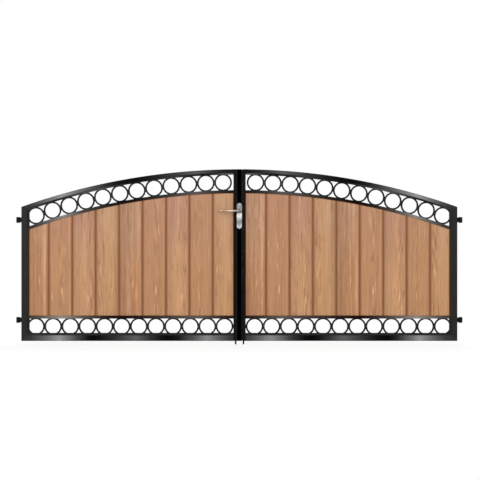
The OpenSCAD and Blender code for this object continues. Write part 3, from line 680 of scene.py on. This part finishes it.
def addLoft(mesh, loops):
    # closed skin through loops of points that all have the same count
    rows = [[mesh.verts.new(point) for point in loop] for loop in loops]
    count = len(rows[0])
    for near, far in zip(rows, rows[1:]):
        for i in range(count):
            j = (i + 1) % count
            mesh.faces.new((near[i], far[i], far[j], near[j]))
    mesh.faces.new(rows[0])
    mesh.faces.new(list(reversed(rows[-1])))


def roundLoop(centre, along, radius, corners):
    # points of a regular outline about an axis through its centre
    axis = Vector(along).normalized()
    side = axis.orthogonal().normalized()
    up = axis.cross(side)
    loop = []
    for i in range(corners):
        angle = 2 * math.pi * i / corners
        loop.append(Vector(centre) + (side * math.cos(angle) + up * math.sin(angle)) * radius)
    return loop


# Weld runs where the rings touch their rails, the stiles and each other
ringForm = {
    "diameter": 0.12,
    "arcRadius": 4.31175,      # the upper row's own arc
    "arcPitch": 0.1174,
    "seat": 0.00025,
    "pieces": 12,
}
weldForm = {
    "spread": 0.0125,          # reach of a weld run to each side of a contact
    "notch": 0.0055,           # how far a weld climbs out of the notch between two rings
    "notchStart": 0.001,       # how far inside the notch it starts
    "bite": 0.0004,            # how far it sinks into both pieces
    "depth": 0.0104,           # along the ring's depth
    "fullShare": 0.8,          # share of that depth over which a run has its full width
    "endWidth": 0.93,          # its width at the ends
    "steps": 6,
}
ringRadius = ringForm["diameter"] / 2


def seatOutline():
    # half a lens between a ring and the flat that it almost touches; x along the contact
    ring, flat = [], []
    for step in range(-weldForm["steps"], weldForm["steps"] + 1):
        x = weldForm["spread"] * step / weldForm["steps"]
        drop = ringRadius - math.sqrt(ringRadius ** 2 - x ** 2)
        ring.append((x, -ringForm["seat"] / 2 - drop - weldForm["bite"]))
        flat.append((x, ringForm["seat"] / 2 + weldForm["bite"]))
    return ring + flat[::-1]


def notchOutline(halfPitch, way):
    # filler between two rings, from where their flats end; x along the contact
    start = math.sqrt(ringRadius ** 2 - halfPitch ** 2) - weldForm["notchStart"]
    near, far = [], []
    for step in range(weldForm["steps"] + 1):
        x = start + weldForm["notch"] * step / weldForm["steps"]
        gap = max(halfPitch - math.sqrt(ringRadius ** 2 - x ** 2), 0.0) + weldForm["bite"]
        near.append((way * x, -gap))
        far.append((way * x, gap))
    return near + far[::-1]


def addWeld(mesh, centreX, centreZ, facing, outline):
    # facing: angle of the way from the ring to what it touches, 0 towards +X and 90 up
    turn = math.radians(facing - 90)
    half = weldForm["depth"] / 2
    full, ends = half * weldForm["fullShare"], weldForm["endWidth"]
    loops = []
    for y, width in ((-half, ends), (-full, 1.0), (full, 1.0), (half, ends)):
        loops.append([(centreX + x * width * math.cos(turn) - z * math.sin(turn), y,
                       centreZ + x * width * math.sin(turn) + z * math.cos(turn)) for x, z in outline])
    addLoft(mesh, loops)


def lowerRow(side):
    # middle of each ring from left to right, with its angle about the arch's centre
    low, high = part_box(side + "_lower_rings")
    pitch = (high.x - low.x - ringForm["diameter"]) / (ringForm["pieces"] - 1)
    midZ = (low.z + high.z) / 2
    return [(low.x + ringRadius + i * pitch, midZ, 0.0) for i in range(ringForm["pieces"])]


def upperRow(side):
    sign = sides[side]
    arc = ringForm["arcRadius"]
    first = math.asin((abs(faceX(side + "_upper_rings", sign)) - ringRadius) / arc)
    places = []
    for i in range(ringForm["pieces"]):
        angle = first - i * ringForm["arcPitch"] / arc
        places.append((sign * arc * math.sin(angle), archCentreZ + arc * math.cos(angle), sign * angle))
    return places if side == "left" else places[::-1]


def weldRow(side, row, places, endWelds):
    mesh = bmesh.new()
    seated = seatOutline()
    reach = ringRadius + ringForm["seat"] / 2
    for x, z, angle in places:
        for way in (1, -1):
            addWeld(mesh, x + way * reach * math.sin(angle), z + way * reach * math.cos(angle),
                    90 * way - math.degrees(angle), seated)
    for (x, z, _), (nextX, nextZ, _) in zip(places, places[1:]):
        tilt = math.degrees(math.atan2(nextZ - z, nextX - x))
        halfPitch = math.hypot(nextX - x, nextZ - z) / 2
        for way in (1, -1):
            addWeld(mesh, (x + nextX) / 2, (z + nextZ) / 2, tilt, notchOutline(halfPitch, way))
    for end, way in endWelds:
        x, z, _ = places[end]
        addWeld(mesh, x + way * reach, z, 90 - 90 * way, seated)
    finishPiece(side + "_" + row + "_ring_welds", mesh, coats["rings"], side + "_leaf")


for side in sides:
    weldRow(side, "lower", lowerRow(side), ((0, -1), (-1, 1)))
    weldRow(side, "upper", upperRow(side), ((0, -1),) if side == "left" else ((-1, 1),))
print("ring welds made")


# Lock nuts on the stems of the hinge eyes, against the hinge stiles
nutForm = {
    "eyeHeight": 0.038,
    "acrossFlats": 0.030,
    "thickness": 0.007,
    "chamfer": 0.0016,
    "chamferLength": 0.6,      # along the stem, as a share of the chamfer's depth
    "stand": 0.0001,           # off the stile
}


def addNut(mesh, place, way):
    corner = nutForm["acrossFlats"] / math.sqrt(3)
    flat = corner - nutForm["chamfer"]
    thick = nutForm["thickness"]
    rise = nutForm["chamfer"] * nutForm["chamferLength"]
    loops = []
    for reach, radius in ((0.0, flat), (rise, corner), (thick - rise, corner), (thick, flat)):
        centre = (place[0] + way * (nutForm["stand"] + reach), place[1], place[2])
        loops.append(roundLoop(centre, (way, 0, 0), radius, 6))
    addLoft(mesh, loops)


for side, sign in sides.items():
    mesh = bmesh.new()
    low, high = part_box(side + "_hinge_eyes")
    eyeHalf = nutForm["eyeHeight"] / 2
    for z in (low.z + eyeHalf, high.z - eyeHalf):
        addNut(mesh, (faceX(side + "_hinge_stile", sign), (low.y + high.y) / 2, z), sign)
    finishPiece(side + "_hinge_nuts", mesh, coats["fittings"], side + "_leaf", smooth=False)
print("hinge nuts made")


# Soft bulb on the closing seal, which fills the gap to the right leaf
sealForm = {
    "air": 0.00004,          # left between the bulb and the right leaf's stile
    "halfWidth": 0.0024,
    "sink": 0.0002,          # into the seal's strip
    "steps": 10,
}


def makeSealBulb():
    low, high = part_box("closing_seal")
    reach = faceX("right_meeting_stile", -1) - sealForm["air"] - high.x
    middleY = (low.y + high.y) / 2
    outline = [(high.x - sealForm["sink"], middleY - sealForm["halfWidth"])]
    for step in range(sealForm["steps"] + 1):
        angle = math.pi * (step / sealForm["steps"] - 0.5)
        outline.append((high.x + reach * math.cos(angle), middleY + sealForm["halfWidth"] * math.sin(angle)))
    outline.append((high.x - sealForm["sink"], middleY + sealForm["halfWidth"]))
    mesh = bmesh.new()
    addLoft(mesh, [[(x, y, z) for x, y in outline] for z in (low.z, high.z)])
    finishPiece("seal_bulb", mesh, rubber, "left_leaf")


makeSealBulb()


# Runs of dark sealant that close the slit between the innermost boards and the meeting stiles, front and rear
sealantForm = {
    "ontoBoard": {"left": 0.0005, "right": 0.0001},  # how far a run laps onto the board's face
    "ontoStile": 0.0008,     # how far it climbs up the stile's side
    "stand": 0.00003,        # off the board's face
    "bend": (0.3, 0.35),     # where its slope bends, as shares of the two
}


def makeSealant(side):
    sign = sides[side]
    low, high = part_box(side + "_board_1")
    stileX, edgeX = faceX(side + "_meeting_stile", sign), faceX(side + "_board_1", -sign)
    lap, climb = sealantForm["ontoBoard"][side], sealantForm["ontoStile"]
    bendX, bendY = sealantForm["bend"]
    foot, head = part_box(side + "_lower_channel")[1].z, high.z - climb
    mesh = bmesh.new()
    for way, boardY in ((-1, low.y), (1, high.y)):
        faceY = boardY + way * sealantForm["stand"]
        outline = [(stileX, faceY), (edgeX + sign * lap, faceY),
                   (edgeX + sign * lap * bendX, faceY + way * climb * bendY),
                   (stileX, faceY + way * climb)]
        addLoft(mesh, [[(x, y, z) for x, y in outline] for z in (foot, head)])
    finishPiece(side + "_sealant_runs", mesh, rubber, side + "_leaf", smooth=False)


for side in sides:
    makeSealant(side)


# Screws with a hexagon socket: plate screws, and those of the forend, the strike plate and the rod guides
screwForm = {
    "corners": 24,
    "socketShare": 0.5,      # socket's corner radius as a share of the head's radius
    "socketDeep": 0.55,      # socket's depth as a share of the head's height
    "edge": 0.22,            # rounding at the head's rim as a share of its height
}
plateScrewForm = {"radius": 0.0045, "height": 0.002, "shank": 0.0025, "shankSides": 16}
forendScrewForm = {"radius": 0.0032, "height": 0.0004, "inset": 0.007}
strikeScrewForm = {"radius": 0.0022, "height": 0.0004, "inset": 0.0033}
guideForm = {"foot": 0.003, "height": 0.024}   # the CAD rod guides: thickness of the foot, height of a guide
guideScrewForm = {"radius": 0.0027, "height": 0.0022, "spread": 0.0065, "inset": 0.0045}


def hexLoop(centre, along, radius, corners):
    # as many points as a round loop, on the sides of a hexagon, each of which spans 60 degrees
    loop = []
    for i, point in enumerate(roundLoop(centre, along, 1.0, corners)):
        offAxis = (math.degrees(2 * math.pi * i / corners) % 60) - 30
        reach = radius * math.cos(math.radians(30)) / math.cos(math.radians(offAxis))
        loop.append(Vector(centre) + (point - Vector(centre)) * reach)
    return loop


def addScrew(mesh, seat, along, radius, height):
    # seat: the middle of the head's underside; along: the way that the head looks
    way = Vector(along)
    count = screwForm["corners"]
    edge = screwForm["edge"] * height
    loops = []
    for reach, size in ((0.0, radius), (height - edge, radius), (height, radius - edge)):
        loops.append(roundLoop(Vector(seat) + way * reach, along, size, count))
    socket = radius * screwForm["socketShare"]
    for reach in (height, height * (1 - screwForm["socketDeep"])):
        loops.append(hexLoop(Vector(seat) + way * reach, along, socket, count))
    addLoft(mesh, loops)


def makePlateScrews():
    low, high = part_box("plate_screws")
    radius, height = plateScrewForm["radius"], plateScrewForm["height"]
    mesh = bmesh.new()
    for z in (low.z + radius, high.z - radius):
        for way, face in ((-1, low.y), (1, high.y)):
            addScrew(mesh, (0.0, face - way * height, z), (0, way, 0), radius, height)
        addLoft(mesh, [roundLoop((0.0, y, z), (0, 1, 0), plateScrewForm["shank"], plateScrewForm["shankSides"])
                       for y in (low.y + height, high.y - height)])
    piece = finishPiece("plate_screw_heads", mesh, metals["screw"], "left_leaf", smooth=False)
    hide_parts("plate_screws")


def makeEndScrews(node, name, form, way, body):
    # one screw at each end of a lock's or a strike plate's face
    low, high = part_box(node)
    mesh = bmesh.new()
    for z in (low.z + form["inset"], high.z - form["inset"]):
        addScrew(mesh, (faceX(node, way), 0.0, z), (way, 0, 0), form["radius"], form["height"])
    finishPiece(name, mesh, metals["lockScrew"], body, smooth=False)


def makeGuideScrews(side):
    sign = sides[side]
    low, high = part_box(side + "_rod_guides")
    screwX = faceX(side + "_meeting_stile", sign) - sign * guideScrewForm["inset"]
    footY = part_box(side + "_meeting_stile")[1].y + guideForm["foot"]
    mesh = bmesh.new()
    for middle in (low.z + guideForm["height"] / 2, high.z - guideForm["height"] / 2):
        for z in (middle - guideScrewForm["spread"], middle + guideScrewForm["spread"]):
            addScrew(mesh, (screwX, footY, z), (0, 1, 0), guideScrewForm["radius"], guideScrewForm["height"])
    finishPiece(side + "_guide_screws", mesh, coats["fittings"], side + "_leaf", smooth=False)


makePlateScrews()
makeEndScrews("lock_case", "forend_screws", forendScrewForm, 1, "left_leaf")
makeEndScrews("strike_plate", "strike_screws", strikeScrewForm, -1, "right_leaf")
for side in sides:
    makeGuideScrews(side)
print("seal bulb, sealant and screws made")


# Floor, light and camera
stageLook = {
    "floorSize": 60.0,
    "floorTone": 0.8,
    "whiteShare": 0.75,      # share of plain white in what the camera sees of the floor by the gate
    "whiteFrom": 1.2,        # metres from the centre line, front to rear, where the floor starts to pale
    "whiteBy": 3.0,          # and where nothing but white is left
    "worldLight": 0.62,
}
lampLook = {
    "key": {"place": (-2.8, -6.2, 3.2), "size": 5.5, "watts": 268.0},
    "fill": {"place": (4.2, -5.0, 2.6), "size": 4.0, "watts": 120.0},
    "rear": {"place": (0.5, 5.5, 4.5), "size": 4.0, "watts": 220.0},
}
cameraLook = {
    "lens": 180.0,
    "sensor": 36.0,
    "viewWidth": 3.247,     # width that the picture takes in at the leaves' front face
    "aim": (0.0045, -0.02, 0.708),
    "clip": (0.1, 200.0),
}
white = (1.0, 1.0, 1.0, 1.0)


def seenDirectly(tree):
    # 1 for rays from the camera, and for those that metal or glass sends on
    path = tree.nodes.new("ShaderNodeLightPath")
    seen = calc(tree, "MAXIMUM", path.outputs["Is Camera Ray"], path.outputs["Is Glossy Ray"])
    return calc(tree, "MAXIMUM", seen, path.outputs["Is Transmission Ray"])


def floorWhite():
    made = bpy.data.materials.new("floorWhite")
    made.use_nodes = True
    tree = made.node_tree
    tree.nodes.clear()
    tone = stageLook["floorTone"]
    plain = addNode(tree, "BsdfDiffuse", {"Color": (tone, tone, tone, 1.0)})
    bright = addNode(tree, "BsdfDiffuse", {"Color": white})
    glow = addNode(tree, "Emission", {"Color": white, "Strength": 1.0})
    place = axes(tree, tree.nodes.new("ShaderNodeTexCoord").outputs["Object"])
    away = calc(tree, "ABSOLUTE", place["Y"])
    share = addNode(tree, "MapRange", {"Value": away, "From Min": stageLook["whiteFrom"],
                                       "From Max": stageLook["whiteBy"], "To Min": stageLook["whiteShare"],
                                       "To Max": 1.0})
    shown = addNode(tree, "MixShader", {0: share.outputs["Result"], 1: bright.outputs[0], 2: glow.outputs[0]})
    both = addNode(tree, "MixShader", {0: seenDirectly(tree), 1: plain.outputs[0], 2: shown.outputs[0]})
    out = tree.nodes.new("ShaderNodeOutputMaterial")
    tree.links.new(both.outputs[0], out.inputs["Surface"])
    return made


def makeFloor():
    half = stageLook["floorSize"] / 2
    mesh = bmesh.new()
    corners = [mesh.verts.new((x * half, y * half, 0.0)) for x, y in ((-1, -1), (1, -1), (1, 1), (-1, 1))]
    mesh.faces.new(corners)
    data = bpy.data.meshes.new("floor")
    mesh.to_mesh(data)
    mesh.free()
    data.materials.append(floorWhite())
    floor = bpy.data.objects.new("floor", data)
    bpy.context.scene.collection.objects.link(floor)


def makeWorld():
    world = bpy.data.worlds.new("studio")
    bpy.context.scene.world = world
    world.use_nodes = True
    tree = world.node_tree
    tree.nodes.clear()
    level = scaledTo(tree, seenDirectly(tree), stageLook["worldLight"], 1.0)
    back = addNode(tree, "Background", {"Color": white, "Strength": level})
    out = tree.nodes.new("ShaderNodeOutputWorld")
    tree.links.new(back.outputs[0], out.inputs["Surface"])


def makeLamps():
    middle = (cadLow + cadHigh) / 2
    for name, look in lampLook.items():
        data = bpy.data.lights.new(name, "AREA")
        data.shape = "DISK"
        data.size = look["size"]
        data.energy = look["watts"]
        lamp = bpy.data.objects.new(name, data)
        lamp.location = look["place"]
        lamp.rotation_euler = (middle - lamp.location).to_track_quat("-Z", "Y").to_euler()
        bpy.context.scene.collection.objects.link(lamp)


def makeCamera():
    data = bpy.data.cameras.new("camera")
    data.lens = cameraLook["lens"]
    data.sensor_width = cameraLook["sensor"]
    distance = cameraLook["viewWidth"] * data.lens / data.sensor_width
    data.clip_start, data.clip_end = cameraLook["clip"]
    camera = bpy.data.objects.new("camera", data)
    camera.location = Vector(cameraLook["aim"]) - Vector((0.0, distance, 0.0))
    camera.rotation_euler = (math.pi / 2, 0.0, 0.0)
    bpy.context.scene.collection.objects.link(camera)
    bpy.context.scene.camera = camera


makeFloor()
makeWorld()
makeLamps()
makeCamera()
bpy.context.scene.view_settings.view_transform = "Standard"
print("floor, lamps and camera placed")
